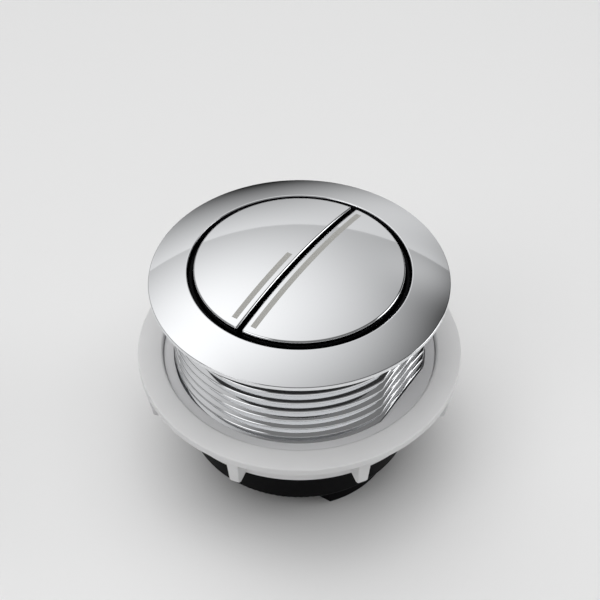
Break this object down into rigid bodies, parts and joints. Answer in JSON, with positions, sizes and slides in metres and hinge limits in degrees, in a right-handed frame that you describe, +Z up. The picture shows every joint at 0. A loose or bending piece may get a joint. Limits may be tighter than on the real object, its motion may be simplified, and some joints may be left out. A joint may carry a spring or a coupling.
{
  "type": "push button cistern actuator",
  "caption": "Round dual flush push button: half-round sprung buttons in a domed chrome bezel, a threaded barrel with a flanged clamp nut, and a black guide housing with pushers.",
  "frame": {"origin": "on the barrel's axis, in the plane where the bezel's underside seats on the lid", "axes": "+Z up along the barrel and the buttons' travel, the slot between the buttons along Y, the full flush button on +X"},
  "size_m": [0.0822, 0.0822, 0.0647],
  "materials": {
    "chrome": "bright chrome plate on moulded plastic",
    "nut_plastic": "pale grey moulded plastic, fine matt",
    "washer_plastic": "pale smooth washer sheet",
    "black_plastic": "black moulded plastic, semi gloss",
    "spring_steel": "stainless spring wire",
    "screw_steel": "stainless steel"
  },
  "bodies": {
    "barrel": {"bezel_barrel": "chrome", "guide_housing": "black_plastic", "full_flush_spring_left": "spring_steel", "full_flush_spring_right": "spring_steel", "half_flush_spring_left": "spring_steel", "half_flush_spring_right": "spring_steel"},
    "full_flush": {"full_flush_cap": "chrome", "full_flush_pusher": "black_plastic", "full_flush_cap_screws": "screw_steel"},
    "half_flush": {"half_flush_cap": "chrome", "half_flush_pusher": "black_plastic", "half_flush_cap_screws": "screw_steel"},
    "washer": {"slip_washer": "washer_plastic"},
    "nut": {"clamp_nut": "nut_plastic"}
  },
  "joints": [
    {"name": "full_flush_press", "type": "slide", "parent": "barrel", "child": "full_flush", "axis": [0, 0, -1], "range_m": [0, 0.006], "stiffness_N_per_m": 500, "springref_m": -0.005, "deforming": ["full_flush_spring_left", "full_flush_spring_right"]},
    {"name": "half_flush_press", "type": "slide", "parent": "barrel", "child": "half_flush", "axis": [0, 0, -1], "range_m": [0, 0.006], "stiffness_N_per_m": 500, "springref_m": -0.005, "deforming": ["half_flush_spring_left", "half_flush_spring_right"]},
    {"name": "washer_slide", "type": "slide", "parent": "barrel", "child": "washer", "axis": [0, 0, 1], "range_m": [-0.0031, 0.0161]},
    {"name": "nut_turn", "type": "hinge", "parent": "washer", "child": "nut", "pos_m": [0, 0, -0.02236], "axis": [0, 0, 1], "range_deg": [-360, 1920]}
  ],
  "couplings": [
    {"joint": "washer_slide", "follows": "nut_turn", "m_per_rad": 0.00047746}
  ]
}
